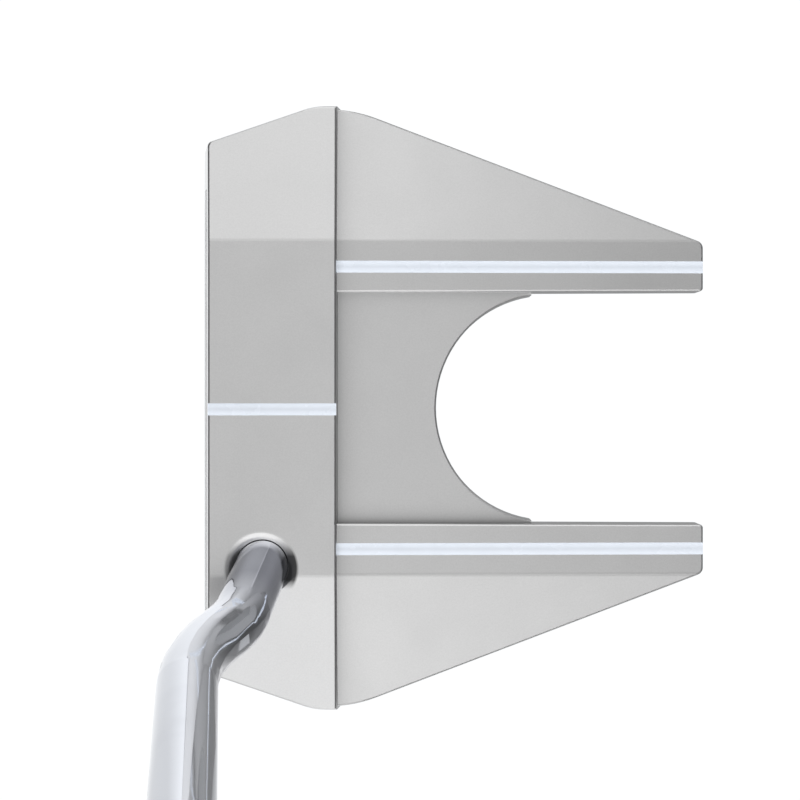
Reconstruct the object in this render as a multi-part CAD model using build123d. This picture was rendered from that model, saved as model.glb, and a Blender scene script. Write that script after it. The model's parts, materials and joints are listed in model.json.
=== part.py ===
from build123d import *

import os
from math import asin, cos, degrees, radians, sin, sqrt, tan

# A right-handed mallet putter, in millimetres. +Z is up, with the sole on z = 0. The face looks
# along -X, the two wings run back along +X, and the toe is along +Y. The origin is on the sole,
# under the middle of the front bar.

# ---- driving dimensions: the club ----
CLUB_LENGTH = 864.0  # 34 inches, along the shaft from the ground
LIE = 70.0  # shaft to ground, seen from the front
LOFT = 3.5

# ---- driving dimensions: the head ----
HEAD_HEIGHT = 25.0
BAR_DEPTH = 22.68
BAR_HALF_WIDTH = 53.4
BAR_FRONT_HALF_WIDTH = 47.0
BAR_END_ANGLE = 18.9
BAR_END_RADIUS = 12.0
CREASE_Y = 29.7  # where the flat top gives way to the toe and heel facets
CREASE_RADIUS = 4.0
FACET_TILT = 6.0
BAR_RIM_ROUND = 0.4
FACE_SIDE_ROUND = 1.0  # the upright edges at the two ends of the face

REAR_HALF_WIDTH = 52.95
WING_STEP = 2.2  # the wings' tops start this far below the bar's
WING_SLOPE = 4.5
BAR_BACK_DRAFT = 2.5
WING_TIP_X = 76.5
WING_TIP_OUTER_Y = 29.35
WING_TIP_INNER_Y = 20.75
WING_ROOT_INNER_Y = 20.5
WING_SWEEP = 20.78  # angle of a wing's outer edge
SHOULDER_RADIUS = 24.0
CUTOUT_RADIUS = 20.3
CUTOUT_X = 49.3
FLOOR_END_X = 46.0  # where the centre floor's two horns stop
FLOOR_DEPTH = 3.2  # centre floor below the wings' tops
WING_RIM_ROUND = 0.35
WING_TIP_OUTER_ROUND = 1.4
WING_TIP_INNER_ROUND = 0.6

SOLE_FLAT_HALF_WIDTH = 20.0
SOLE_CAMBER_RADIUS = 180.0
SOLE_ROUND = 0.8
SOLE_ZONE = 8.0  # the underside's rim lies below this height

# ---- driving dimensions: what is in the head ----
GROOVE_WIDTH = 2.15
GROOVE_DEPTH = 0.75
PAINT_SINK = 0.06
PAINT_DISH = 0.22
BAR_LINE_Y = -0.25
WING_LINE_Y = 25.0

INSERT_LENGTH = 78.0
INSERT_HEIGHT = 16.6
INSERT_CORNER = 5.0
INSERT_THICKNESS = 3.2
BOND_THICKNESS = 0.25
INSERT_CENTRE_Z = 12.6
INSERT_RIM_ROUND = 0.3
RIB_GROOVES = 7  # shallow grooves along the insert's face
RIB_PITCH = 2.0
RIB_GROOVE_WIDTH = 0.6
RIB_GROOVE_DEPTH = 0.25
RIB_GROOVE_LENGTH = 64.0

PLATE_FRONT_X = -7.0
PLATE_BACK_X = 26.0
PLATE_HALF_WIDTH = 27.0
PLATE_THICKNESS = 3.0
PLATE_CORNER = 4.0
PLATE_SCREWS = ((-3.5, 12.0), (22.0, 23.0))  # x and +-y of the front pair and the back pair
SCREW_RADIUS = 1.5
SCREW_HEAD_RADIUS = 2.8
SCREW_HEAD_EDGE = 0.3
SCREW_LENGTH = 9.0
SCREW_SOCKET = 2.0  # across the hexagon's flats
SCREW_SOCKET_DEPTH = 1.3

WEIGHT_X = 1.0
WEIGHT_Y = 39.5
WEIGHT_RADIUS = 7.5
WEIGHT_SINK = 0.9
WEIGHT_HEAD = 6.6
WEIGHT_STEM_RADIUS = 4.0
WEIGHT_STEM = 5.0
WEIGHT_CHAMFER = 0.5
WEIGHT_SOCKET = 5.0  # across the hexagon's flats
WEIGHT_SOCKET_DEPTH = 3.2
WEIGHT_DIMPLE_RADIUS = 0.8
WEIGHT_DIMPLE_DEPTH = 1.0
WASHER_THICKNESS = 0.6

# ---- driving dimensions: shaft ----
HOSEL_X = -1.93
HOSEL_Y = -28.4
HOSEL_DEPTH = 19.0
HOSEL_DISH_RADIUS = 6.4  # the head's top curves down towards the bore inside this radius
HOSEL_DISH_CURVE = 3.6
EPOXY_GAP = 0.12
EPOXY_SINK = 0.75  # top of the glue line below the head's top
TIP_LEAN = 7.7  # forward lean of the shaft's tip out of the plane of the upper shaft
TIP_STRAIGHT = 20.3
BEND_LEAN = 27.0
BEND_1_RADIUS = 29.0
BEND_2_RADIUS = 49.0
UPPER_LEAN = -1.2
TIP_RADIUS = 4.7
FLARE = 0.0088  # growth of the radius for each mm above the head, up to the flare's end
FLARE_END = 110.0
BUTT_RADIUS = 7.45
TAPER_END = 430.0
TIP_WALL = 0.7
BUTT_WALL = 0.4
PLUG_LENGTH = 9.0

# ---- driving dimensions: grip ----
GRIP_LENGTH = 267.0
CAP_THICKNESS = 5.0
GRIP_TOP = (31.0, 28.5)  # width across the thumbs and thickness, at the cap
GRIP_MIDDLE = (27.5, 26.0)
GRIP_BOTTOM = (21.4, 21.2)
SKIN_THICKNESS = 1.2
TAPE_THICKNESS = 0.2
COLLAR_LENGTH = 7.0
COLLAR_TAPER = 1.4
CAP_ROUND = 2.2
VENT_RADIUS = 1.5
BAND_LENGTH = 38.0
BAND_GAP = 24.0
BAND_THICKNESS = 0.12

CLEARANCE = 0.05
BIG = 200.0  # larger than the head in every direction
ABOVE_HEAD = 60.0

BAR_FRONT_X = -BAR_DEPTH / 2
BAR_BACK_X = BAR_DEPTH / 2
WING_TOP_Z = HEAD_HEIGHT - WING_STEP


# ---- shared shapes ----


def mirrored_pair(half):
    """An outline of the toe side, given from front to back, with its mirror image at the heel."""
    return half + [(x, -y) for x, y in reversed(half)]


def corners_at(sketch, x, y, radius):
    """Round the sketch's corners nearest (x, y) and (x, -y)."""
    for side in (1, -1):
        corner = sketch.vertices().sort_by_distance(Vector(x, side * y, 0))[0]
        sketch = fillet(corner, radius)
    return sketch


def top_roof(top_z):
    """What lies under a flat top with two facets that fall away to the toe and heel."""
    drop = (BIG - CREASE_Y) * tan(radians(FACET_TILT))
    outline = [(-BIG, -BIG), (BIG, -BIG), (BIG, top_z - drop), (CREASE_Y, top_z)]
    outline += [(-CREASE_Y, top_z), (-BIG, top_z - drop)]
    section = make_face(Polyline(*outline, close=True))
    for side in (1, -1):
        crease = section.vertices().sort_by_distance(Vector(side * CREASE_Y, top_z, 0))[0]
        section = fillet(crease, CREASE_RADIUS)
    return extrude(Plane.YZ * section, BIG, both=True)


def slope_back(shape):
    """Tilt about the line where the wings' tops meet the bar, so that the back goes down."""
    hinge = Axis((BAR_BACK_X, 0, WING_TOP_Z), (0, 1, 0))
    return shape.rotate(hinge, WING_SLOPE)


def wing_top_z(x):
    return WING_TOP_Z - (x - BAR_BACK_X) * tan(radians(WING_SLOPE))


def sole_cradle():
    """What lies above the sole: flat in the middle, and rising to the toe and heel."""
    edge = BAR_HALF_WIDTH + 10
    rise = SOLE_CAMBER_RADIUS - sqrt(SOLE_CAMBER_RADIUS**2 - (edge - SOLE_FLAT_HALF_WIDTH) ** 2)
    across = [
        Line((-SOLE_FLAT_HALF_WIDTH, 0), (SOLE_FLAT_HALF_WIDTH, 0)),
        RadiusArc((SOLE_FLAT_HALF_WIDTH, 0), (edge, rise), -SOLE_CAMBER_RADIUS),
        Polyline((edge, rise), (edge, ABOVE_HEAD), (-edge, ABOVE_HEAD), (-edge, rise)),
        RadiusArc((-edge, rise), (-SOLE_FLAT_HALF_WIDTH, 0), -SOLE_CAMBER_RADIUS),
    ]
    return extrude(Plane.YZ * make_face(across), BIG, both=True)


def face_plane(depth):
    """The lofted face's plane, sunk into the head by depth, with local x to the toe."""
    face_x = BAR_FRONT_X - (HEAD_HEIGHT - INSERT_CENTRE_Z) * tan(radians(LOFT))
    normal = Vector(-cos(radians(LOFT)), 0, sin(radians(LOFT)))
    centre = Vector(face_x, 0, INSERT_CENTRE_Z) - normal * depth
    return Plane(origin=centre, x_dir=(0, 1, 0), z_dir=normal)


def behind_face():
    return Pos(0, 0, -BIG / 2) * Box(2 * BIG, 2 * BIG, BIG)


# ---- head body ----


def rounded_sole(shape, from_x, to_x):
    """The shape with the rim of its underside rounded, between two distances back."""

    def is_rim(edge):
        box = edge.bounding_box()
        at_flat = abs(abs(box.center().Y) - SOLE_FLAT_HALF_WIDTH) < 0.1 and box.size.Y < 0.2
        upright = abs((edge % 0.5).Z) > 0.4
        in_run = box.max.X > from_x and box.min.X < to_x
        return box.max.Z < SOLE_ZONE and in_run and not (upright or at_flat)

    return fillet(shape.edges().filter_by(is_rim), SOLE_ROUND)


def front_bar():
    """The raised bar: the plan outline under its roof, between the lofted face and the back."""
    overrun = 6.0
    run = (BAR_HALF_WIDTH - BAR_FRONT_HALF_WIDTH) / tan(radians(BAR_END_ANGLE))
    front_y = BAR_FRONT_HALF_WIDTH - overrun * tan(radians(BAR_END_ANGLE))
    half = [(BAR_FRONT_X - overrun, front_y), (BAR_FRONT_X + run, BAR_HALF_WIDTH)]
    half += [(BAR_BACK_X + overrun, BAR_HALF_WIDTH)]
    outline = make_face(Polyline(*mirrored_pair(half), close=True))
    outline = corners_at(outline, BAR_FRONT_X + run, BAR_HALF_WIDTH, BAR_END_RADIUS)
    back = Pos(BAR_BACK_X, 0, HEAD_HEIGHT) * Rot(0, 90 - BAR_BACK_DRAFT, 0) * behind_face()
    bar = extrude(outline, ABOVE_HEAD) & top_roof(HEAD_HEIGHT) & (face_plane(0) * behind_face()) & back
    upright = bar.edges().filter_by(lambda e: e.length > 15 and abs(e.tangent_at(0.5).Z) > 0.9)
    bar = fillet(upright.filter_by(lambda e: e.center().X < BAR_FRONT_X + 1), FACE_SIDE_ROUND)
    rim = bar.edges().filter_by(lambda e: e.bounding_box().min.Z > 21 and not is_crease(e))
    bar = fillet(rim, BAR_RIM_ROUND) & sole_cradle()
    return rounded_sole(bar, BAR_FRONT_X - 9, BAR_BACK_X)


def is_crease(edge):
    """Whether an edge is one of the lines where the flat top turns down to a facet."""
    box = edge.bounding_box()
    return box.size.Y < 0.05 and abs(abs(box.center().Y) - CREASE_Y) < 0.5


def between_wings(start_x):
    """The plan of the space between the wings, from start_x back, widening towards the tips."""
    flare = (WING_TIP_INNER_Y - WING_ROOT_INNER_Y) / (WING_TIP_X - BAR_BACK_X)
    ends = (start_x, WING_TIP_X + 1)
    half = [(x, WING_ROOT_INNER_Y + flare * (x - BAR_BACK_X)) for x in ends]
    return make_face(Polyline(*mirrored_pair(half), close=True))


def rear_body():
    """The two wings and the centre floor between them, open to the back."""
    front_x = BAR_BACK_X - 1.6
    shoulder_x = WING_TIP_X - (REAR_HALF_WIDTH - WING_TIP_OUTER_Y) / tan(radians(WING_SWEEP))
    half = [(front_x, REAR_HALF_WIDTH), (shoulder_x, REAR_HALF_WIDTH)]
    half += [(WING_TIP_X, WING_TIP_OUTER_Y)]
    outline = make_face(Polyline(*mirrored_pair(half), close=True))
    outline = corners_at(outline, shoulder_x, REAR_HALF_WIDTH, SHOULDER_RADIUS)
    outline = corners_at(outline, WING_TIP_X, WING_TIP_OUTER_Y, WING_TIP_OUTER_ROUND)
    above_sole = rounded_sole(extrude(outline, ABOVE_HEAD) & sole_cradle(), BAR_BACK_X, WING_TIP_X + 1)
    outline -= Pos(CUTOUT_X, 0) * Circle(CUTOUT_RADIUS)
    outline -= between_wings(FLOOR_END_X)
    outline = corners_at(outline, WING_TIP_X, WING_TIP_INNER_Y, WING_TIP_INNER_ROUND)
    body = extrude(outline, ABOVE_HEAD) & slope_back(top_roof(WING_TOP_Z))
    above_floor = Pos(0, 0, WING_TOP_Z - FLOOR_DEPTH + BIG / 2) * Box(2 * BIG, 2 * BIG, BIG)
    body -= extrude(between_wings(front_x), ABOVE_HEAD) & slope_back(above_floor)
    rim = body.edges().filter_by(is_wing_rim)
    return fillet(rim, WING_RIM_ROUND) & above_sole


def is_wing_rim(edge):
    """Whether an edge runs round the top of the wings or of the centre floor."""
    box = edge.bounding_box()
    middle = edge.position_at(0.5)
    upright = abs(edge.tangent_at(0.5).Z) > 0.5
    in_bar = box.max.X < BAR_BACK_X + 0.5
    at_floor_side = abs(abs(middle.Y) - WING_ROOT_INNER_Y) < 0.3 and middle.Z < wing_top_z(middle.X) - 1
    return box.min.Z > 10 and not (upright or in_bar or is_crease(edge) or at_floor_side)


def groove_circle():
    """Radius of a groove's round bottom, and its centre's height above the surface."""
    half = GROOVE_WIDTH / 2
    radius = (half**2 + GROOVE_DEPTH**2) / (2 * GROOVE_DEPTH)
    return radius, radius - GROOVE_DEPTH


def groove(start_x, end_x, y, top_z):
    radius, height = groove_circle()
    rod = Cylinder(radius, end_x - start_x, rotation=(0, 90, 0))
    return Pos((start_x + end_x) / 2, y, top_z + height) * rod


def paint(start_x, end_x, y, top_z):
    """The fill in a groove: sunk a little below the surface and dished."""
    radius, height = groove_circle()
    half = sqrt(radius**2 - (height + PAINT_SINK) ** 2)
    dish = (half**2 + PAINT_DISH**2) / (2 * PAINT_DISH)
    middle = Pos((start_x + end_x) / 2, y, top_z)
    length = end_x - start_x
    fill = groove(start_x, end_x, y, top_z) & (
        middle * Pos(0, 0, -PAINT_SINK - 5) * Box(length, 4, 10)
    )
    scoop = Cylinder(dish, length + 2, rotation=(0, 90, 0))
    return fill - middle * Pos(0, 0, dish - PAINT_SINK - PAINT_DISH) * scoop


def bar_line(shape):
    """A groove or its paint across the front bar, cut off at the face."""
    return shape(BAR_FRONT_X - 3, BAR_BACK_X, BAR_LINE_Y, HEAD_HEIGHT) & (face_plane(0) * behind_face())


def wing_line(shape, side):
    """A groove or its paint along one wing, from the bar to the tip."""
    run = shape(BAR_BACK_X, WING_TIP_X + 2, side * WING_LINE_Y, WING_TOP_Z)
    within = Pos((BAR_BACK_X + WING_TIP_X) / 2, 0, 20)
    return slope_back(run) & (within * Box(WING_TIP_X - BAR_BACK_X, 120, 40))


def insert_block(front_depth, back_depth, margin):
    """A slab parallel to the face, between two depths behind it."""
    outline = RectangleRounded(
        INSERT_LENGTH + 2 * margin, INSERT_HEIGHT + 2 * margin, INSERT_CORNER + margin
    )
    return extrude(face_plane(back_depth) * outline, back_depth - front_depth)


def plate_outline(margin):
    length = PLATE_BACK_X - PLATE_FRONT_X + 2 * margin
    width = 2 * (PLATE_HALF_WIDTH + margin)
    centre = Pos((PLATE_FRONT_X + PLATE_BACK_X) / 2, 0)
    return centre * RectangleRounded(length, width, PLATE_CORNER + margin)


def screw_places():
    return [(x, side * y) for x, y in PLATE_SCREWS for side in (1, -1)]


def weight_place(side):
    """Where a sole weight sits: on the sole, with local +Z square to it and into the head."""
    turn = asin((WEIGHT_Y - SOLE_FLAT_HALF_WIDTH) / SOLE_CAMBER_RADIUS)
    height = SOLE_CAMBER_RADIUS * (1 - cos(turn))
    return Pos(WEIGHT_X, side * WEIGHT_Y, height) * Rot(side * degrees(turn), 0, 0)


def weight_pocket():
    wide = WEIGHT_SINK + WEIGHT_HEAD + WASHER_THICKNESS
    pocket = Pos(0, 0, wide / 2 - 2) * Cylinder(WEIGHT_RADIUS + CLEARANCE, wide + 4)
    narrow = WEIGHT_STEM + 0.5
    return pocket + Pos(0, 0, wide + narrow / 2) * Cylinder(WEIGHT_STEM_RADIUS, narrow)


# ---- shaft line ----


def lean_direction(lean):
    """The shaft's direction: up at the lie angle, and forward of the lie plane by lean."""
    up = Vector(0, -cos(radians(LIE)), sin(radians(LIE)))
    return up * cos(radians(lean)) + Vector(-1, 0, 0) * sin(radians(lean))


HOSEL_TOP = Vector(HOSEL_X, HOSEL_Y, HEAD_HEIGHT)
TIP_DIRECTION = lean_direction(TIP_LEAN)
UPPER_DIRECTION = lean_direction(UPPER_LEAN)


def bend(start, lean_from, lean_to, radius):
    """One bend of the shaft in its lie plane, as an arc from start."""
    heading = lean_direction(lean_from)
    turn = lean_to - lean_from
    angle = turn / 2
    chord = 2 * radius * sin(radians(abs(turn)) / 2)
    end = start + lean_direction(lean_from + angle) * chord
    return TangentArc(start, end, tangent=heading)


BEND_1_START = HOSEL_TOP + TIP_DIRECTION * TIP_STRAIGHT
BEND_1 = bend(BEND_1_START, TIP_LEAN, BEND_LEAN, BEND_1_RADIUS)
BEND_2 = bend(BEND_1 @ 1, BEND_LEAN, UPPER_LEAN, BEND_2_RADIUS)
UPPER_START = BEND_2 @ 1
BEND_LENGTH = BEND_1.length + BEND_2.length
ABOVE_BEND = TIP_STRAIGHT + BEND_LENGTH  # length of shaft from the bore's mouth to the bends' end

BUTT_Z = CLUB_LENGTH * sin(radians(LIE)) - CAP_THICKNESS * UPPER_DIRECTION.Z
UPPER_LENGTH = (BUTT_Z - UPPER_START.Z) / UPPER_DIRECTION.Z
UPPER_PLANE = Plane(origin=UPPER_START, x_dir=(1, 0, 0), z_dir=UPPER_DIRECTION)


def shaft_radius(length_above_mouth):
    flare_radius = TIP_RADIUS + FLARE * FLARE_END
    if length_above_mouth <= 0:
        return TIP_RADIUS
    if length_above_mouth <= FLARE_END:
        return TIP_RADIUS + FLARE * length_above_mouth
    share = min(1, (length_above_mouth - FLARE_END) / (TAPER_END - FLARE_END))
    return flare_radius + (BUTT_RADIUS - flare_radius) * share


def shaft_wall(length_above_mouth):
    share = min(1, max(0, length_above_mouth) / TAPER_END)
    return TIP_WALL + (BUTT_WALL - TIP_WALL) * share


def tip_plane(along):
    """The plane square to the shaft's straight tip, at a length above the bore's mouth."""
    return Plane(
        origin=HOSEL_TOP + TIP_DIRECTION * along, x_dir=(0, 0, 1), z_dir=TIP_DIRECTION
    )


def turned(plane, stations, radius_at):
    """A solid turned about the plane's normal, from its radius at each height."""
    edge = [(radius_at(h), h) for h in stations]
    outline = [(0, stations[0])] + edge + [(0, stations[-1])]
    profile = Plane.XZ * make_face(Polyline(*outline, close=True))
    return plane * revolve(profile, Axis.Z)


def shaft_rod(thinner):
    """The shaft as a solid rod, less thinner(length) of its radius, in three runs."""

    def radius(length):
        return shaft_radius(length) - thinner(length)

    tip = turned(tip_plane(0), (-HOSEL_DEPTH, 0, TIP_STRAIGHT), radius)
    rod = tip
    at = TIP_STRAIGHT
    for arc in (BEND_1, BEND_2):
        sections = []
        for share in (0, 1):
            plane = Plane(origin=arc @ share, z_dir=arc % share)
            sections.append(plane * Circle(radius(at + share * arc.length)))
        rod += sweep(sections, path=arc, multisection=True)
        at += arc.length
    stations = [0, FLARE_END - ABOVE_BEND, TAPER_END - ABOVE_BEND, UPPER_LENGTH]
    return rod + turned(UPPER_PLANE, stations, lambda h: radius(h + ABOVE_BEND))


def upper_place(below_butt):
    """The plane square to the upper shaft at a length below its butt, normal to the butt."""
    return UPPER_PLANE.offset(UPPER_LENGTH - below_butt)


def upper_sleeve(below_butt, length, thickness):
    """A thin sleeve round the upper shaft, whose top is below_butt from the butt."""
    low = UPPER_LENGTH - below_butt - length
    stations = [low]
    if low < TAPER_END - ABOVE_BEND < low + length:
        stations.append(TAPER_END - ABOVE_BEND)
    stations.append(low + length)

    def outer(height):
        return shaft_radius(height + ABOVE_BEND) + thickness

    def inner(height):
        return shaft_radius(height + ABOVE_BEND)

    return turned(UPPER_PLANE, stations, outer) - turned(UPPER_PLANE, stations, inner)


# ---- grip ----


def grip_section(size, inset):
    """A grip's outline: flat for the thumbs on the upper side, and round underneath."""
    width = size[0] / 2 - inset
    front = size[1] * 0.47 - inset
    back = size[1] * 0.53 - inset
    flat = width * 0.62
    right = Spline((flat, front), (width, front * 0.10), (0, -back), tangents=((1, -0.25), (-1, 0)))
    left = mirror(right, about=Plane.YZ)
    return make_face([Line((-flat, front), (flat, front)), right, left])


def grip_stations():
    """Length below the butt, and size, of the grip's sections from its lower end to its cap."""
    return (
        (GRIP_LENGTH - CAP_THICKNESS - COLLAR_LENGTH, GRIP_BOTTOM),
        (GRIP_LENGTH * 0.42, GRIP_MIDDLE),
        (0, GRIP_TOP),
    )


def grip_loft(inset):
    sections = [upper_place(below) * grip_section(size, inset) for below, size in grip_stations()]
    return loft(sections)


# ---- make the pieces ----

hosel_bore = turned(tip_plane(0), (-HOSEL_DEPTH, 15), lambda h: TIP_RADIUS + EPOXY_GAP)


def head_body():
    """The head casting with everything that is cut into it."""
    head = front_bar() + rear_body()
    head -= hosel_bore
    head -= hosel_dish()
    head -= bar_line(groove)
    for side in (1, -1):
        head -= wing_line(groove, side)
        head -= weight_place(side) * weight_pocket()
    head -= insert_block(-2, INSERT_THICKNESS + BOND_THICKNESS, 0)
    head -= extrude(plate_outline(0), PLATE_THICKNESS)
    for x, y in screw_places():
        head -= Pos(x, y, SCREW_LENGTH / 2 + 0.5) * Cylinder(SCREW_RADIUS, SCREW_LENGTH + 1)
    return head


def hosel_dish():
    """What is taken off round the bore's mouth, to leave a rounded dish in the head's top."""
    sweep_angle = radians(45)
    inner = HOSEL_DISH_RADIUS - HOSEL_DISH_CURVE * sin(sweep_angle)
    depth = HOSEL_DISH_CURVE * (1 - cos(sweep_angle))
    outline = [
        RadiusArc((inner, -depth), (HOSEL_DISH_RADIUS, 0), HOSEL_DISH_CURVE),
        Polyline((HOSEL_DISH_RADIUS, 0), (HOSEL_DISH_RADIUS, 1), (0, 1), (0, -depth), (inner, -depth)),
    ]
    return Pos(HOSEL_TOP) * revolve(Plane.XZ * make_face(outline), Axis.Z)


def face_insert():
    block = insert_block(0, INSERT_THICKNESS, -CLEARANCE)
    front_rim = block.edges().filter_by(lambda e: face_plane(0).to_local_coords(e @ 0.5).Z > -0.05)
    block = fillet(front_rim, INSERT_RIM_ROUND)
    for place in range(RIB_GROOVES):
        height = (place - (RIB_GROOVES - 1) / 2) * RIB_PITCH
        bar = Box(RIB_GROOVE_LENGTH, RIB_GROOVE_WIDTH, 2 * RIB_GROOVE_DEPTH)
        block -= face_plane(0) * Pos(0, height, 0) * bar
    return block


def sole_plate():
    plate = extrude(plate_outline(-CLEARANCE), PLATE_THICKNESS)
    for x, y in screw_places():
        plate -= Pos(x, y, 0) * screw_hole()
    return plate


def screw_cone(margin):
    """A screw's countersunk head, widest at the sole."""
    wide = SCREW_HEAD_RADIUS + margin
    narrow = SCREW_RADIUS + margin
    outline = [(0, 0), (wide, 0), (wide, SCREW_HEAD_EDGE), (narrow, SCREW_HEAD_EDGE + wide - narrow)]
    outline += [(narrow, PLATE_THICKNESS), (0, PLATE_THICKNESS)]
    return revolve(Plane.XZ * make_face(Polyline(*outline, close=True)), Axis.Z)


def screw_hole():
    return screw_cone(CLEARANCE)


def sole_screw():
    screw = screw_cone(0) + Pos(0, 0, SCREW_LENGTH / 2) * Cylinder(SCREW_RADIUS, SCREW_LENGTH)
    socket = RegularPolygon(SCREW_SOCKET / 2, 6, major_radius=False)
    screw -= extrude(socket, SCREW_SOCKET_DEPTH)
    return screw - Pos(0, 0, CLEARANCE / 2) * Box(9, 9, CLEARANCE)


def sole_weight():
    head = Cylinder(WEIGHT_RADIUS, WEIGHT_HEAD)
    head = chamfer(head.edges().group_by(Axis.Z)[0], WEIGHT_CHAMFER)
    weight = Pos(0, 0, WEIGHT_SINK + WEIGHT_HEAD / 2) * head
    stem_top = WEIGHT_SINK + WEIGHT_HEAD + WEIGHT_STEM
    stem = Cylinder(WEIGHT_STEM_RADIUS - CLEARANCE, WEIGHT_STEM + 1)
    weight += Pos(0, 0, stem_top - WEIGHT_STEM / 2 - 0.5) * stem
    socket = Pos(0, 0, WEIGHT_SINK) * RegularPolygon(WEIGHT_SOCKET / 2, 6, major_radius=False)
    weight -= extrude(socket, WEIGHT_SOCKET_DEPTH)
    dimple = Cylinder(WEIGHT_DIMPLE_RADIUS, 2 * WEIGHT_DIMPLE_DEPTH)
    for turn in (0, 180):
        weight -= Rot(0, 0, turn) * Pos(WEIGHT_RADIUS * 0.68, 0, WEIGHT_SINK) * dimple
    return weight


def weight_washer():
    ring = Cylinder(WEIGHT_RADIUS - 0.2, WASHER_THICKNESS)
    ring -= Cylinder(WEIGHT_STEM_RADIUS + 0.2, WASHER_THICKNESS + 1)
    return Pos(0, 0, WEIGHT_SINK + WEIGHT_HEAD + WASHER_THICKNESS / 2) * ring


def hosel_epoxy():
    """The glue line round the shaft's tip, stopping just short of the bore's lip."""
    sleeve = turned(tip_plane(0), (-HOSEL_DEPTH, 5), lambda h: TIP_RADIUS + EPOXY_GAP)
    sleeve -= turned(tip_plane(0), (-HOSEL_DEPTH - 1, 0, 6), shaft_radius)
    below_lip = Pos(0, 0, HEAD_HEIGHT - EPOXY_SINK - BIG / 2) * Box(2 * BIG, 2 * BIG, BIG)
    return sleeve & below_lip


def shaft_tip_plug():
    radius = TIP_RADIUS - TIP_WALL
    return turned(tip_plane(0), (-HOSEL_DEPTH, -HOSEL_DEPTH + PLUG_LENGTH), lambda h: radius)


def shaft():
    bore = shaft_rod(shaft_wall)
    return shaft_rod(lambda length: 0) - bore


def grip_pieces():
    """The grip's foam core, skin, cap and lower collar, and the tape that holds it on."""
    covered = GRIP_LENGTH - CAP_THICKNESS
    tape = upper_sleeve(0, covered, TAPE_THICKNESS)
    stick = turned(
        UPPER_PLANE,
        (0, TAPER_END - ABOVE_BEND, UPPER_LENGTH + 50),
        lambda h: shaft_radius(h + ABOVE_BEND) + TAPE_THICKNESS,
    )
    core = grip_loft(SKIN_THICKNESS)
    outside = grip_loft(0)
    skin = outside - core
    foam = core - stick
    cap = grip_cap()
    collar = grip_collar() - stick
    return {
        "grip_tape": tape,
        "grip_underlisting": foam,
        "grip_skin": skin,
        "grip_cap": cap,
        "grip_tip_collar": collar,
    }


def grip_cap():
    """The butt cap: the grip's outline, rounded over on top, with the vent hole through it."""
    cap = extrude(upper_place(0) * grip_section(GRIP_TOP, 0), CAP_THICKNESS)
    top = cap.faces().sort_by(Axis((0, 0, 0), UPPER_DIRECTION))[-1]
    cap = fillet(top.edges(), CAP_ROUND)
    hole = turned(upper_place(0), (-1, CAP_THICKNESS + 1), lambda h: VENT_RADIUS)
    return cap - hole


def grip_collar():
    """The rubber ring at the grip's lower end, tapering in towards the shaft."""
    low = covered_end()
    sections = [
        upper_place(low) * grip_section(GRIP_BOTTOM, COLLAR_TAPER),
        upper_place(low - COLLAR_LENGTH) * grip_section(GRIP_BOTTOM, 0),
    ]
    return loft(sections)


def covered_end():
    return GRIP_LENGTH - CAP_THICKNESS


pieces = {
    "head_body": head_body(),
    "face_insert": face_insert(),
    "insert_adhesive": insert_block(
        INSERT_THICKNESS, INSERT_THICKNESS + BOND_THICKNESS, -CLEARANCE
    ),
    "front_sight_line": bar_line(paint),
    "toe_sight_line": wing_line(paint, 1),
    "heel_sight_line": wing_line(paint, -1),
    "sole_plate": sole_plate(),
    "sole_plate_screws": Compound(children=[Pos(x, y, 0) * sole_screw() for x, y in screw_places()]),
    "toe_weight": weight_place(1) * sole_weight(),
    "heel_weight": weight_place(-1) * sole_weight(),
    "toe_weight_washer": weight_place(1) * weight_washer(),
    "heel_weight_washer": weight_place(-1) * weight_washer(),
    "hosel_epoxy": hosel_epoxy(),
    "shaft_tip_plug": shaft_tip_plug(),
    "shaft": shaft(),
    "shaft_band": upper_sleeve(GRIP_LENGTH + BAND_GAP, BAND_LENGTH, BAND_THICKNESS),
}
pieces.update(grip_pieces())

os.makedirs("parts", exist_ok=True)
for name, piece in pieces.items():
    export_step(piece, f"parts/{name}.step")
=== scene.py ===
import json
import math
from functools import partial

import bmesh
import bpy
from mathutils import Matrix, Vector
from mathutils.bvhtree import BVHTree


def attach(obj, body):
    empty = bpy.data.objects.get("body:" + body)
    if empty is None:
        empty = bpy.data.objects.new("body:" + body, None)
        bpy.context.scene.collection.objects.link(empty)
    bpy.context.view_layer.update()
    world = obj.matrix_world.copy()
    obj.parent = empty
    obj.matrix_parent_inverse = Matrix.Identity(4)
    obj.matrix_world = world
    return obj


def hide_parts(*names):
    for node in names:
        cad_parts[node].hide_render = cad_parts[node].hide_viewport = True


# The looks of a right-handed mallet putter: satin head, chromed shaft and moulded grip, on a pale
# studio floor, seen from straight above. Everything is in metres, in the frame of the CAD model.

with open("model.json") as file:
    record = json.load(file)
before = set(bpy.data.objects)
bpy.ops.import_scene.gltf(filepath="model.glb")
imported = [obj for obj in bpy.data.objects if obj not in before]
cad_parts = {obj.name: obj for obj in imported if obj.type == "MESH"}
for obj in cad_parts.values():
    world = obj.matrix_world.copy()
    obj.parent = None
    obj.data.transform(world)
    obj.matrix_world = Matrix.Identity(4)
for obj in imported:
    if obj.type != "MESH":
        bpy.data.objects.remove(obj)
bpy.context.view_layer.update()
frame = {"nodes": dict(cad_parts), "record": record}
nodes = frame["nodes"]
MM = 0.001

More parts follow.
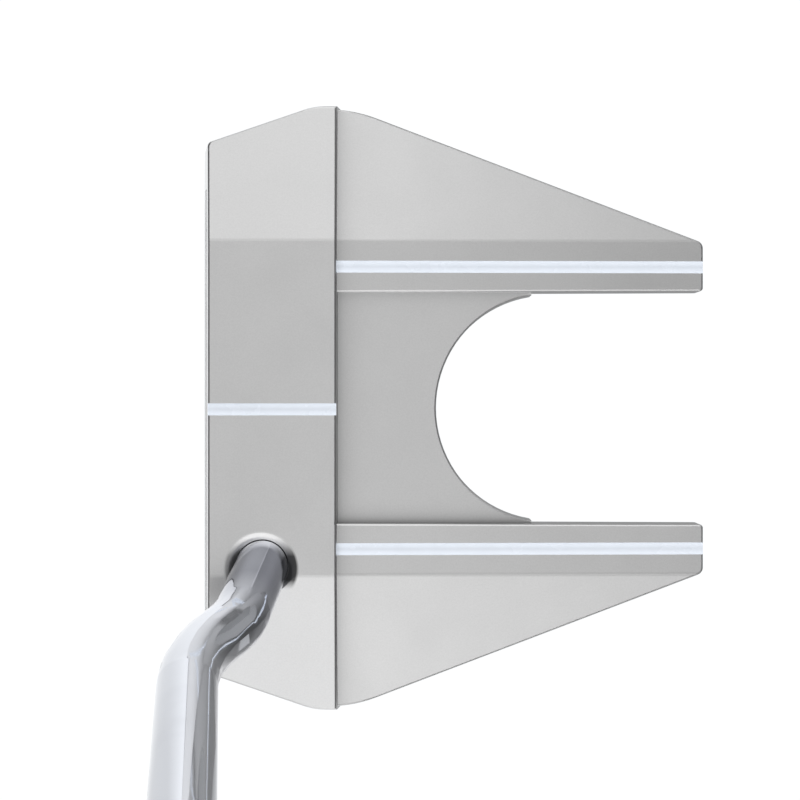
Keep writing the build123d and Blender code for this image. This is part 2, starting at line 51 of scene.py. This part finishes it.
# Places on the head, as the CAD model has them.
BAR_BACK = 11.0 * MM  # the back of the bar's top; the centre floor and the wings lie behind it
WING_INNER = 20.6 * MM  # the wings' inner edges, on both sides of the centre floor
WING_CREASE = 29.2 * MM  # where a wing's level strip gives way to its facet
WING_LINE = 25.0 * MM  # the middle of the sight line on each wing
BAR_LINE = -0.25 * MM  # the middle of the sight line on the bar
BORE = (-1.93 * MM, -28.4 * MM)  # the middle of the bore's mouth
MOUTH_EDGE = (6.2 * MM, 6.7 * MM)  # the dished mouth ends between these radii
BELOW_MOUTH = 20 * MM
# The shaft tip's line, which the shade painted on the shaft's lower part follows.
TIP_LEAN = 0.42  # seen from above, how far the shaft's tip goes back for each step to the toe
TIP_CROSSING = 9.84 * MM  # and where its middle would cross Y = 0


# ---- materials ----


def feed(tree, socket, value):
    """Gives the socket a fixed value, or links another node's output to it."""
    if isinstance(value, bpy.types.NodeSocket):
        tree.links.new(value, socket)
    else:
        socket.default_value = value


def maths_in(tree, operation, *values):
    node = tree.nodes.new("ShaderNodeMath")
    node.operation = operation
    for socket, value in zip(node.inputs, values):
        feed(tree, socket, value)
    return node.outputs[0]


class Look:
    """A material, and the nodes that drive its main shader."""

    def __init__(self, name, colour, metallic, roughness):
        self.material = bpy.data.materials.new(name)
        self.material.use_nodes = True
        self.tree = self.material.node_tree
        self.shader = self.tree.nodes["Principled BSDF"]
        self.place = self.tree.nodes.new("ShaderNodeTexCoord").outputs["Object"]
        self.height = None
        self.set("Base Color", (*colour, 1))
        self.set("Metallic", metallic)
        self.set("Roughness", roughness)

    def set(self, socket, value):
        self.shader.inputs[socket].default_value = value

    def link(self, output, socket):
        self.tree.links.new(output, self.shader.inputs[socket])

    def node(self, kind, **inputs):
        node = self.tree.nodes.new(kind)
        for key, value in inputs.items():
            feed(self.tree, node.inputs[key.replace("_", " ")], value)
        return node

    def stretched(self, along_x, along_y, along_z):
        """The place on the object with each axis scaled, to draw a grain out into streaks."""
        scale = (along_x, along_y, along_z)
        return self.node("ShaderNodeMapping", Vector=self.place, Scale=scale).outputs[0]

    def noise(self, size, detail=3.0, place=None):
        """Noise from 0 to 1, with features of about size metres."""
        place = place or self.place
        return self.node("ShaderNodeTexNoise", Vector=place, Scale=1 / size, Detail=detail).outputs["Fac"]

    def cells(self, size):
        """Distance from the nearest of scattered points, about size metres apart."""
        return self.node("ShaderNodeTexVoronoi", Vector=self.place, Scale=1 / size).outputs["Distance"]

    def spread(self, value, low, high, start=0.3, end=0.7):
        """value's run from start to end, drawn out to run from low to high."""
        node = self.node(
            "ShaderNodeMapRange", Value=value, From_Min=start, From_Max=end, To_Min=low, To_Max=high
        )
        return node.outputs[0]

    def split(self, vector):
        """The vector's x, y and z."""
        return self.node("ShaderNodeSeparateXYZ", Vector=vector).outputs

    def maths(self, operation, *values):
        return maths_in(self.tree, operation, *values)

    def blend(self, factor, dark, light):
        """A colour between dark and light, each of which is three numbers or a socket."""
        node = self.tree.nodes.new("ShaderNodeMix")
        node.data_type = "RGBA"
        self.tree.links.new(factor, node.inputs["Factor"])
        for socket, colour in zip((node.inputs[6], node.inputs[7]), (dark, light)):
            feed(self.tree, socket, (*colour, 1) if isinstance(colour, tuple) else colour)
        return node.outputs[2]

    def bump(self, height, depth, strength=1.0):
        """Adds relief of depth metres; a later call is laid over the earlier ones."""
        node = self.node("ShaderNodeBump", Height=height, Distance=depth, Strength=strength)
        if self.height:
            self.tree.links.new(self.height, node.inputs["Normal"])
        self.height = node.outputs[0]
        self.link(self.height, "Normal")


# Light lost beside an edge: the share lost right at it, and the distance over which that fades.
BEHIND_BAR = (0.37, 1.7 * MM)
FLOOR_BEHIND_BAR = (0.12, 3.0 * MM)
BESIDE_HEEL_WING = (0.75, 1.05 * MM)
BESIDE_TOE_WING = (0.15, 1.5 * MM)
# Light gained or, below zero, lost over a whole zone.
FLOOR_GAIN = 0.085  # on the centre floor and on the heel wing's level strip
TOE_WING_CHANGE = (0.035, -0.065, 20 * MM, 72 * MM)  # near the bar, near the tip, and where each starts
# The same in the bore's mouth, at its front, back and toe sides.
MOUTH_FRONT = -0.35
MOUTH_BACK = -0.88
MOUTH_TOE = 0.28


def shade_behind_bar(look, x, y):
    """The share of light on the faces behind the bar that look upward. It is less beside the bar and
    the wings, a little more on the centre floor and the heel wing's strip, and falls along the toe wing."""
    normal = look.tree.nodes.new("ShaderNodeTexCoord").outputs["Normal"]
    upward = look.spread(look.split(normal)[2], 0.0, 1.0, 0.75, 0.95)
    from_bar = look.maths("SUBTRACT", x, BAR_BACK)
    from_heel_wing = look.maths("ADD", y, WING_INNER)
    from_toe_wing = look.maths("SUBTRACT", WING_INNER, y)
    from_heel_crease = look.maths("ADD", y, WING_CREASE)
    behind_bar = look.maths("MULTIPLY", upward, look.maths("GREATER_THAN", from_bar, 0.0))
    between_wings = look.maths("GREATER_THAN", look.maths("MULTIPLY", from_heel_wing, from_toe_wing), 0.0)
    on_floor = look.maths("MULTIPLY", behind_bar, between_wings)
    heelward = look.maths("GREATER_THAN", look.maths("MULTIPLY", from_heel_crease, from_toe_wing), 0.0)
    on_toe_wing = look.maths("MULTIPLY", behind_bar, look.maths("LESS_THAN", from_toe_wing, 0.0))
    gain = look.maths("MULTIPLY", look.maths("MULTIPLY", behind_bar, heelward), FLOOR_GAIN)
    change = look.maths("MULTIPLY", on_toe_wing, look.spread(x, *TOE_WING_CHANGE))
    share = look.maths("ADD", 1.0, look.maths("ADD", gain, change))
    for zone, distance, (loss, reach) in (
        (behind_bar, from_bar, BEHIND_BAR),
        (on_floor, from_bar, FLOOR_BEHIND_BAR),
        (on_floor, from_heel_wing, BESIDE_HEEL_WING),
        (on_floor, from_toe_wing, BESIDE_TOE_WING),
    ):
        fading = look.maths("EXPONENT", look.maths("DIVIDE", distance, -reach))
        lost = look.maths("MULTIPLY", look.maths("MULTIPLY", fading, loss), zone)
        share = look.maths("MULTIPLY", share, look.maths("SUBTRACT", 1.0, lost))
    return share


def shade_in_mouth(look, x, y, z):
    """The share of light in the bore's dished mouth: bright to the toe, dark at the sides."""
    back, toeward = (look.maths("SUBTRACT", place, middle) for place, middle in zip((x, y), BORE))
    squared = look.maths("ADD", look.maths("MULTIPLY", back, back), look.maths("MULTIPLY", toeward, toeward))
    inside, outside = MOUTH_EDGE
    mouth = look.spread(squared, 1.0, 0.0, inside**2, outside**2)
    mouth = look.maths("MULTIPLY", mouth, look.maths("GREATER_THAN", z, BELOW_MOUTH))
    at_side = look.spread(back, MOUTH_FRONT, MOUTH_BACK, -3 * MM, 3 * MM)
    change = look.spread(toeward, at_side, MOUTH_TOE, 2.2 * MM, 5.4 * MM)
    change = look.maths("MULTIPLY", change, look.spread(toeward, 0.0, 1.0, -3.6 * MM, -2.0 * MM))
    return look.maths("ADD", 1.0, look.maths("MULTIPLY", mouth, change))


def head_satin():
    """Bead-blasted and satin-plated metal, with the soft shade of its corners in its colour."""
    look = Look("head_satin", (0.79, 0.79, 0.79), 1.0, 0.29)
    grain = look.noise(0.28 * MM, 2.0)
    cloud = look.noise(9 * MM, 3.0)
    tone = look.maths("ADD", look.spread(grain, -0.5, 0.5), look.spread(cloud, 0.2, 0.8))
    plating = look.blend(tone, (0.76, 0.76, 0.76), (0.80, 0.80, 0.80))
    x, y, z = look.split(look.place)
    shade = look.maths("MULTIPLY", shade_behind_bar(look, x, y), shade_in_mouth(look, x, y, z))
    shaded = look.tree.nodes.new("ShaderNodeVectorMath")
    shaded.operation = "SCALE"
    look.tree.links.new(plating, shaded.inputs["Vector"])
    look.tree.links.new(shade, shaded.inputs["Scale"])
    look.link(shaded.outputs[0], "Base Color")
    look.link(look.spread(cloud, 0.275, 0.305), "Roughness")
    look.bump(look.noise(0.30 * MM, 2.0), 0.003 * MM, 0.5)
    return look


def sight_paint():
    """Glossy enamel, flowed into the groove. Its colour is painted darker along the middle of each line and
    lighter towards the edges: painted shade and painted highlight of a dished paint surface.
    """
    look = Look("sight_paint", (0.85, 0.91, 0.99), 0.0, 0.26)
    y = look.split(look.place)[1]
    from_wing_line = look.maths("ABSOLUTE", look.maths("SUBTRACT", look.maths("ABSOLUTE", y), WING_LINE))
    from_bar_line = look.maths("ABSOLUTE", look.maths("SUBTRACT", y, BAR_LINE))
    from_middle = look.maths("MINIMUM", from_wing_line, from_bar_line)
    # Painted shade along each line's middle and painted highlight towards its edges, with a little random
    # tone from the noise.
    painted_edge_light = look.spread(from_middle, 0.0, 1.0, 0.1 * MM, 0.8 * MM)
    edge_light_and_tone = look.maths("ADD", painted_edge_light, look.spread(look.noise(3 * MM), -0.1, 0.1))
    look.link(look.blend(edge_light_and_tone, (0.727, 0.778, 0.855), (0.85, 0.91, 1.0)), "Base Color")
    look.link(look.spread(look.noise(4 * MM), 0.22, 0.30), "Roughness")
    look.bump(look.noise(2.5 * MM, 1.0), 0.004 * MM, 0.4)
    look.set("Coat Weight", 0.5)
    look.set("Coat Roughness", 0.08)
    return look


def shaft_chrome():
    """Polished chrome on steel, with the faint lengthwise lines of its drawing. Between the head's top and
    the bends its colour is painted darker, a little lighter towards the back: painted shade that stands in
    for a darker reflection."""
    look = Look("shaft_chrome", (0.79, 0.81, 0.88), 1.0, 0.06)
    drawn = look.noise(0.5 * MM, 2.0, look.stretched(1, 1, 0.02))
    haze = look.noise(18 * MM, 4.0)
    rough = look.maths("ADD", look.spread(drawn, 0.03, 0.07), look.spread(haze, 0.0, 0.04))
    look.link(rough, "Roughness")
    # Painted shade: across the shaft, darkest at its front and lighter towards its back.
    x, y, z = look.split(look.place)
    from_middle = look.maths("SUBTRACT", x, look.maths("MULTIPLY", y, TIP_LEAN))
    from_middle = look.maths("SUBTRACT", from_middle, TIP_CROSSING)
    front_side = look.spread(from_middle, 0.27, 0.0, -3.5 * MM, -0.5 * MM)
    step = look.spread(from_middle, 0.0, 0.5, -0.12 * MM, 0.12 * MM)
    back_side = look.spread(from_middle, 0.0, 0.35, 0.2 * MM, 2.8 * MM)
    painted_shade_across = look.maths("ADD", look.maths("ADD", front_side, step), back_side)
    dark = look.blend(painted_shade_across, (0.26, 0.27, 0.31), (0.56, 0.58, 0.67))
    # The painted shade covers the shaft from about 25-28 mm up to 38-54 mm; the haze varies it a little at
    # random.
    above = look.spread(z, 0.0, 1.0, 38 * MM, 54 * MM)
    below = look.spread(z, 1.0, 0.0, 25 * MM, 28 * MM)
    tone = look.maths("ADD", look.maths("ADD", above, below), look.spread(haze, -0.1, 0.1))
    look.link(look.blend(tone, dark, (0.81, 0.83, 0.88)), "Base Color")
    look.bump(drawn, 0.001 * MM, 0.5)
    return look


def plate_steel():
    """Stainless plate, brushed along the face."""
    look = Look("plate_steel", (0.62, 0.62, 0.61), 1.0, 0.3)
    brushed = look.noise(0.25 * MM, 3.0, look.stretched(1, 0.03, 1))
    look.link(look.spread(brushed, 0.22, 0.42), "Roughness")
    look.link(look.blend(brushed, (0.55, 0.55, 0.54), (0.68, 0.68, 0.67)), "Base Color")
    look.bump(brushed, 0.004 * MM, 0.7)
    return look


def screw_steel():
    look = Look("screw_steel", (0.5, 0.5, 0.49), 1.0, 0.28)
    marks = look.noise(0.6 * MM, 4.0)
    look.link(look.spread(marks, 0.2, 0.4), "Roughness")
    look.link(look.blend(marks, (0.42, 0.42, 0.41), (0.56, 0.56, 0.55)), "Base Color")
    look.bump(marks, 0.006 * MM, 0.6)
    return look


def weight_steel():
    """Turned steel with a dark plated finish."""
    look = Look("weight_steel", (0.3, 0.3, 0.305), 1.0, 0.3)
    turned = look.noise(0.4 * MM, 4.0)
    look.link(look.spread(turned, 0.22, 0.42), "Roughness")
    look.link(look.blend(turned, (0.25, 0.25, 0.255), (0.36, 0.36, 0.365)), "Base Color")
    look.bump(turned, 0.005 * MM, 0.6)
    return look


def moulded(name, dark, light, rough, grain):
    """Moulded rubber or elastomer, with a fine matt grain of the given size."""
    look = Look(name, light, 0.0, rough)
    cloud = look.noise(6 * MM, 3.0)
    look.link(look.blend(cloud, dark, light), "Base Color")
    look.link(look.spread(cloud, rough - 0.07, rough + 0.07), "Roughness")
    look.bump(look.cells(grain), grain * 0.15, 0.7)
    look.set("Specular IOR Level", 0.4)
    return look


def poured(name, dark, light, rough):
    """Set adhesive or wound tape, hidden inside the club."""
    look = Look(name, light, 0.0, rough)
    flow = look.noise(2 * MM, 4.0)
    look.link(look.blend(flow, dark, light), "Base Color")
    look.bump(flow, 0.03 * MM, 0.5)
    return look


LOOKS = {
    "head_satin": head_satin(),
    "sight_paint": sight_paint(),
    "shaft_chrome": shaft_chrome(),
    "plate_steel": plate_steel(),
    "screw_steel": screw_steel(),
    "weight_steel": weight_steel(),
    "insert_elastomer": moulded("insert_elastomer", (0.76, 0.765, 0.77), (0.84, 0.845, 0.85), 0.42, 0.5 * MM),
    "washer_rubber": moulded("washer_rubber", (0.012, 0.012, 0.012), (0.03, 0.03, 0.03), 0.6, 0.3 * MM),
    "plug_rubber": moulded("plug_rubber", (0.02, 0.02, 0.02), (0.045, 0.045, 0.045), 0.6, 0.4 * MM),
    "grip_rubber": moulded("grip_rubber", (0.020, 0.020, 0.021), (0.036, 0.036, 0.038), 0.42, 0.35 * MM),
    "cap_rubber": moulded("cap_rubber", (0.03, 0.03, 0.032), (0.055, 0.055, 0.058), 0.5, 0.35 * MM),
    "grip_foam": moulded("grip_foam", (0.04, 0.04, 0.04), (0.09, 0.09, 0.09), 0.8, 0.8 * MM),
    "band_film": moulded("band_film", (0.02, 0.022, 0.026), (0.035, 0.038, 0.044), 0.35, 1.2 * MM),
    "bond": poured("bond", (0.07, 0.07, 0.075), (0.12, 0.12, 0.125), 0.35),
    "tape": poured("tape", (0.55, 0.50, 0.38), (0.68, 0.63, 0.50), 0.7),
}

SLOT_OF = {part["node"]: part["material_slot"] for part in frame["record"]["subparts"]}


def dress(piece, look_name):
    piece.data.materials.clear()
    piece.data.materials.append(LOOKS[look_name].material)


# ---- the grip's moulded skin ----

GRIP_ROW = 0.65 * MM  # the relief's rows along the grip
GRIP_COLUMNS = 144
GRIP_STATIONS = 41  # places along the grip where its outline is taken
OUTLINE_RAYS = 240
RAY_START = 50 * MM  # outside the grip, from its middle
END_MARGIN = 0.02 * MM  # the sleeve stops this much inside the CAD skin's ends
SKIN_WALL = 1.1 * MM
PLAIN_END = 8 * MM
RELIEF_RISE = 1 * MM  # the relief reaches its depth over this length past a plain end
# Columns from the middle of the thumb flat: its ribs' start and end, the seam, the first dimples.
SPINE = 2
FLAT_EDGE = 13
SEAM = 16
DIMPLES_FROM = 19
RIB_PROFILE = (0.6 * MM, 0.6 * MM, 0.15 * MM, 0.0, 0.0, 0.15 * MM)  # depth of each row in turn
SEAM_DEPTH = 0.55 * MM
DIMPLE_PITCH = 8
DIMPLE_RADIUS = 2.6  # in rows and columns, as the pitch is
DIMPLE_DEPTH = 0.6 * MM
SHARP_ANGLE = math.radians(70)


def centre_of(name):
    points = [vertex.co for vertex in nodes[name].data.vertices]
    return sum(points, Vector()) / len(points)


def evenly_round(outline, count):
    """The closed outline's points, taken again at equal steps of its length."""
    closed = outline + outline[:1]
    lengths = [0.0]
    for a, b in zip(closed, closed[1:]):
        lengths.append(lengths[-1] + (b - a).length)
    points = []
    at = 0
    for step in range(count):
        target = lengths[-1] * step / count
        while lengths[at + 1] < target:
            at += 1
        share = (target - lengths[at]) / (lengths[at + 1] - lengths[at])
        points.append(closed[at].lerp(closed[at + 1], share))
    return points


def relief(row, column, from_end):
    """Depth of the mould's pattern. Columns count from the middle of the thumb flat."""
    away = min(column, GRIP_COLUMNS - column)
    depth = 0.0
    if SPINE <= away <= FLAT_EDGE:
        depth = RIB_PROFILE[row % len(RIB_PROFILE)]
    elif away in (SEAM - 1, SEAM):
        depth = SEAM_DEPTH
    elif away >= DIMPLES_FROM:
        for offset in (0, DIMPLE_PITCH // 2):
            across, along = (
                (place + offset + DIMPLE_PITCH // 2) % DIMPLE_PITCH - DIMPLE_PITCH // 2
                for place in (away - GRIP_COLUMNS // 2, row)
            )
            depth = max(depth, DIMPLE_DEPTH * (1 - (across**2 + along**2) / DIMPLE_RADIUS**2))
    return depth * min(1.0, max(0.0, (from_end - PLAIN_END) / RELIEF_RISE))


def grip_skin():
    """A closed sleeve over the grip: ribs under the thumbs, and dimples round the sides and back."""
    axis = (centre_of("grip_tape") - centre_of("shaft_band")).normalized()
    middle = centre_of("grip_tape")
    side = (Vector((1, 0, 0)) - axis * axis.x).normalized()
    front = axis.cross(side)
    source = nodes["grip_skin"].data
    heights = [(vertex.co - middle).dot(axis) for vertex in source.vertices]
    low, high = min(heights), max(heights)
    surface = BVHTree.FromPolygons(
        [vertex.co for vertex in source.vertices], [face.vertices for face in source.polygons]
    )

    def outline_at(height):
        centre = middle + axis * height
        outline = []
        for turn in range(OUTLINE_RAYS):
            angle = math.tau * turn / OUTLINE_RAYS
            outward = front * math.cos(angle) + side * math.sin(angle)
            outline.append(surface.ray_cast(centre + outward * RAY_START, -outward)[0])
        return evenly_round(outline, GRIP_COLUMNS)

    start = low + END_MARGIN
    span = high - low - 2 * END_MARGIN
    last = GRIP_STATIONS - 1
    stations = [outline_at(start + span * k / last) for k in range(GRIP_STATIONS)]

    def smooth_row(share):
        place = min(share * last, last - 0.001)
        k = int(place)
        return [a.lerp(b, place - k) for a, b in zip(stations[k], stations[k + 1])]

    def inward(point):
        to_axis = middle + axis * (point - middle).dot(axis) - point
        return to_axis.normalized()

    shape = bmesh.new()
    rings = []
    rows = round(span / GRIP_ROW)
    for row in range(rows + 1):
        from_end = min(row, rows - row) * GRIP_ROW
        ring = []
        for column, point in enumerate(smooth_row(row / rows)):
            sunk = point + inward(point) * relief(row, column, from_end)
            ring.append(shape.verts.new(sunk))
        rings.append(ring)
    for station in reversed(stations):
        rings.append([shape.verts.new(point + inward(point) * SKIN_WALL) for point in station])
    for ring, above in zip(rings, rings[1:] + rings[:1]):
        for column in range(GRIP_COLUMNS):
            after = (column + 1) % GRIP_COLUMNS
            shape.faces.new((ring[column], above[column], above[after], ring[after]))
    bmesh.ops.recalc_face_normals(shape, faces=shape.faces)
    for face in shape.faces:
        face.smooth = True
    mesh = bpy.data.meshes.new("grip_skin_moulded")
    shape.to_mesh(mesh)
    shape.free()
    mesh.set_sharp_from_angle(angle=SHARP_ANGLE)
    skin = bpy.data.objects.new("grip_skin_moulded", mesh)
    bpy.context.scene.collection.objects.link(skin)
    dress(skin, "grip_rubber")
    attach(skin, "root")
    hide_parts("grip_skin")


# ---- studio ----

FLOOR_HALF = 4.0
FLOOR_DROP = 0.05 * MM  # keeps the floor just clear of the sole
CAMERA_PLACE = (22.6 * MM, 1.4 * MM, 925 * MM)
CAMERA_LENS = 229.5
CEILING_HEIGHT = 1.6
CEILING_SIZE = 2.4
CEILING_POWER = 23.5

# The sky's tone, as reflections see it. An edge is the run of a direction over which the tone changes,
# and the tone before and after it. A direction's side is its y over its z, so toe is positive.
SKY_TONE = 0.485
SKY_SHOWN = 0.93
ADDED_BY_SIDE = (
    (0.02, 0.22, 0.0, 0.54),
    (0.50, 0.85, 0.0, 0.06),
    (-0.24, -0.02, 0.70, 0.0),
    (-1.30, -0.60, -0.20, 0.0),
)
MULTIPLIED_BY_X = (
    (0.05, 0.15, 1.0, 1.27),
    (0.20, 0.26, 1.0, 0.02),  # the ceiling's back edge
    (-0.38, -0.18, 0.04, 1.0),  # its front edge
)
# What stands behind the object, beyond the ceiling's back edge.
BEHIND_BY_SIDE = (0.35, 0.70, 0.0, 0.26)
BEHIND_BY_X = (0.33, 0.43, 0.0, 0.30)
BEHIND_START = (0.18, 0.32, 0.0, 1.0)
BEHIND_FADE = (0.55, 0.80, 1.0, 0.2)


def seen_by_camera(tree, shown, otherwise):
    """A strength that is the number shown to the camera, and the socket otherwise to every other ray."""
    path = tree.nodes.new("ShaderNodeLightPath").outputs["Is Camera Ray"]
    mix = tree.nodes.new("ShaderNodeMix")
    for socket, value in zip(mix.inputs[2:4], (otherwise, shown)):
        feed(tree, socket, value)
    tree.links.new(path, mix.inputs["Factor"])
    return mix.outputs[0]


def studio_sky():
    """A lit ceiling above darker walls, brighter to the toe and heel sides. The camera sees it plain."""
    world = bpy.data.worlds.new("studio")
    bpy.context.scene.world = world
    world.use_nodes = True
    tree = world.node_tree
    maths = partial(maths_in, tree)

    def ramp(value, start, end, low, high):
        node = tree.nodes.new("ShaderNodeMapRange")
        node.interpolation_type = "SMOOTHSTEP"
        for socket, number in zip(node.inputs, (value, start, end, low, high)):
            feed(tree, socket, number)
        return node.outputs[0]

    direction = tree.nodes.new("ShaderNodeTexCoord").outputs["Generated"]
    split = tree.nodes.new("ShaderNodeSeparateXYZ")
    tree.links.new(direction, split.inputs[0])
    x, y, z = split.outputs
    side = maths("DIVIDE", y, maths("MAXIMUM", z, 0.05))
    light = SKY_TONE
    for edge in ADDED_BY_SIDE:
        light = maths("ADD", light, ramp(side, *edge))
    for edge in MULTIPLIED_BY_X:
        light = maths("MULTIPLY", light, ramp(x, *edge))
    behind = maths("ADD", ramp(side, *BEHIND_BY_SIDE), ramp(x, *BEHIND_BY_X))
    behind = maths("MULTIPLY", behind, ramp(x, *BEHIND_START))
    light = maths("ADD", light, maths("MULTIPLY", behind, ramp(x, *BEHIND_FADE)))
    background = tree.nodes["Background"]
    tree.links.new(seen_by_camera(tree, SKY_SHOWN, light), background.inputs["Strength"])
    background.inputs["Color"].default_value = (1, 1, 1, 1)


def ceiling_light():
    """A broad soft light that matt surfaces see and mirrors don't. It points straight down."""
    light = bpy.data.lights.new("ceiling", "AREA")
    light.shape = "SQUARE"
    light.size = CEILING_SIZE
    light.energy = CEILING_POWER
    lamp = bpy.data.objects.new("ceiling", light)
    lamp.visible_glossy = False
    lamp.visible_camera = False
    lamp.location.z = CEILING_HEIGHT
    bpy.context.scene.collection.objects.link(lamp)


def pale_floor():
    """White to the camera. Reflections see it brightest under the face, and dim behind and in front."""
    mesh = bpy.data.meshes.new("floor")
    corners = [(-1, -1), (1, -1), (1, 1), (-1, 1)]
    mesh.from_pydata([(FLOOR_HALF * x, FLOOR_HALF * y, 0) for x, y in corners], [], [(0, 1, 2, 3)])
    floor = bpy.data.objects.new("floor", mesh)
    floor.location.z = -FLOOR_DROP
    bpy.context.scene.collection.objects.link(floor)
    look = Look("floor_white", (0.05, 0.05, 0.05), 0.0, 0.9)
    look.link(look.spread(look.noise(0.4, 2.0), 0.84, 0.96), "Roughness")
    look.set("Specular IOR Level", 0.1)
    look.set("Emission Color", (0.98, 0.99, 1.0, 1))
    x, y = look.split(look.place)[:2]
    behind = look.spread(y, 0.55, 0.30, -65 * MM, -45 * MM)
    under_face = look.spread(x, 1.0, 0.0, -12 * MM, 20 * MM)
    lit = look.maths("ADD", behind, look.maths("MULTIPLY", under_face, look.maths("SUBTRACT", 1.0, behind)))
    lit = look.maths("SUBTRACT", lit, look.spread(x, 0.0, 0.28, -20 * MM, -65 * MM))
    look.link(seen_by_camera(look.tree, 1.0, lit), "Emission Strength")
    mesh.materials.append(look.material)


def overhead_camera():
    """Looks straight down, as the photo does."""
    camera = bpy.data.objects.new("camera", bpy.data.cameras.new("camera"))
    camera.data.sensor_width = 36.0
    camera.data.lens = CAMERA_LENS
    camera.data.clip_start = 0.01
    camera.location = CAMERA_PLACE
    bpy.context.scene.collection.objects.link(camera)
    bpy.context.scene.camera = camera


for name, node in nodes.items():
    dress(node, SLOT_OF[name])
grip_skin()

studio_sky()
ceiling_light()
pale_floor()
overhead_camera()
bpy.context.scene.view_settings.view_transform = "Standard"
bpy.context.scene.view_settings.look = "None"
